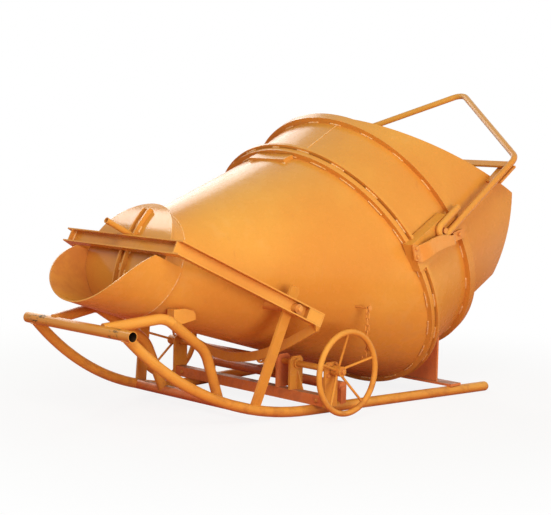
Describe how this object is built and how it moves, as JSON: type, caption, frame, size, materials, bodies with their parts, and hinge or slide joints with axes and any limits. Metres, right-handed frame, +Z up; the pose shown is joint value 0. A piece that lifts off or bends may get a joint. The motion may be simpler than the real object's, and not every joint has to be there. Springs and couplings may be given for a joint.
{
  "type": "concrete bucket",
  "caption": "Lay-down concrete bucket: sloping drum and cone on pipe skids, round radial gate on a channel lever worked by handwheels, and a bent-rod lifting bail.",
  "frame": {"origin": "middle of the footprint box, at ground level under the runners", "axes": "+X towards the filling mouth and the bail, -X towards the outlet chute, +Z up, and +Y completes the right-handed set; the chain is on the -Y side"},
  "size_m": [2.6736, 1.485, 1.5285],
  "materials": {
    "amber_paint": "glossy amber-orange enamel, scuffed at edges",
    "shaded_paint": "the same enamel on the low frame members, dirtier",
    "hardware_paint": "overpainted steel hardware"
  },
  "bodies": {
    "frame": {"runner_l": "amber_paint", "runner_r": "amber_paint", "front_cross_tube": "amber_paint", "bottom_cross_tube": "shaded_paint", "hoop_front_l": "amber_paint", "hoop_front_r": "amber_paint", "hoop_back_l": "amber_paint", "hoop_back_r": "amber_paint", "saddle_l": "amber_paint", "saddle_r": "amber_paint", "leg_l": "amber_paint", "leg_r": "amber_paint", "pivot_l": "hardware_paint", "pivot_r": "hardware_paint", "beam": "shaded_paint", "bearing_outer_l": "amber_paint", "bearing_outer_r": "amber_paint", "bearing_inner_r": "amber_paint", "bearing_post_r": "shaded_paint", "mid_cross_tube": "shaded_paint", "rear_cross_bar": "shaded_paint", "rear_saddle": "shaded_paint", "cone": "amber_paint", "neck": "amber_paint", "drum": "amber_paint", "mouth_shell": "amber_paint", "mouth_back": "amber_paint", "hoop_ring_front": "amber_paint", "hoop_ring_second": "amber_paint", "hoop_ring_rear": "amber_paint", "chute": "amber_paint", "top_pad": "amber_paint", "bail_rest_l": "amber_paint", "bail_rest_r": "amber_paint", "eye_plate_l": "amber_paint", "eye_plate_r": "amber_paint", "keeper_l": "amber_paint", "keeper_r": "amber_paint", "keeper_screws": "hardware_paint", "eye_pin_l": "hardware_paint", "eye_pin_r": "hardware_paint", "chain_stud": "hardware_paint"},
    "gate_lever": {"lever_front": "amber_paint", "lever_arm_l": "amber_paint", "lever_arm_r": "amber_paint", "gate": "amber_paint", "gate_rib_l": "amber_paint", "gate_rib_r": "amber_paint", "lever_socket": "amber_paint", "lever_bow": "amber_paint", "lever_lug": "shaded_paint"},
    "wheel_shaft": {"shaft": "shaded_paint", "wheel_l": "amber_paint", "wheel_r": "amber_paint", "crank": "shaded_paint"},
    "link": {"link": "amber_paint"},
    "bail": {"bail_rod": "amber_paint", "bail_spreader": "amber_paint"},
    "chain": {"chain": "hardware_paint"}
  },
  "joints": [
    {"name": "lever_pivot", "type": "hinge", "parent": "frame", "child": "gate_lever", "pos_m": [-0.50079, 0, 0.524], "axis": [0, 1, 0], "range_deg": [0, 28]},
    {"name": "shaft_turn", "type": "hinge", "parent": "frame", "child": "wheel_shaft", "pos_m": [-0.24579, 0, 0.221], "axis": [0, 1, 0], "range_deg": [0, 74]},
    {"name": "link_turn", "type": "hinge", "parent": "wheel_shaft", "child": "link", "pos_m": [-0.21674, -0.167, 0.1316], "axis": [0, 1, 0], "range_deg": [-102, 0]},
    {"name": "bail_swing", "type": "hinge", "parent": "frame", "child": "bail", "pos_m": [0.30121, 0, 0.854], "axis": [0, -1, 0], "range_deg": [0, 100]},
    {"name": "chain_swing", "type": "hinge", "parent": "frame", "child": "chain", "pos_m": [-0.07679, -0.59, 0.5], "axis": [0, 1, 0], "range_deg": [-12, 12]}
  ],
  "couplings": [
    {"joint": "shaft_turn", "follows": "lever_pivot", "ratio": 2.617},
    {"joint": "link_turn", "follows": "lever_pivot", "ratio": -3.622}
  ]
}
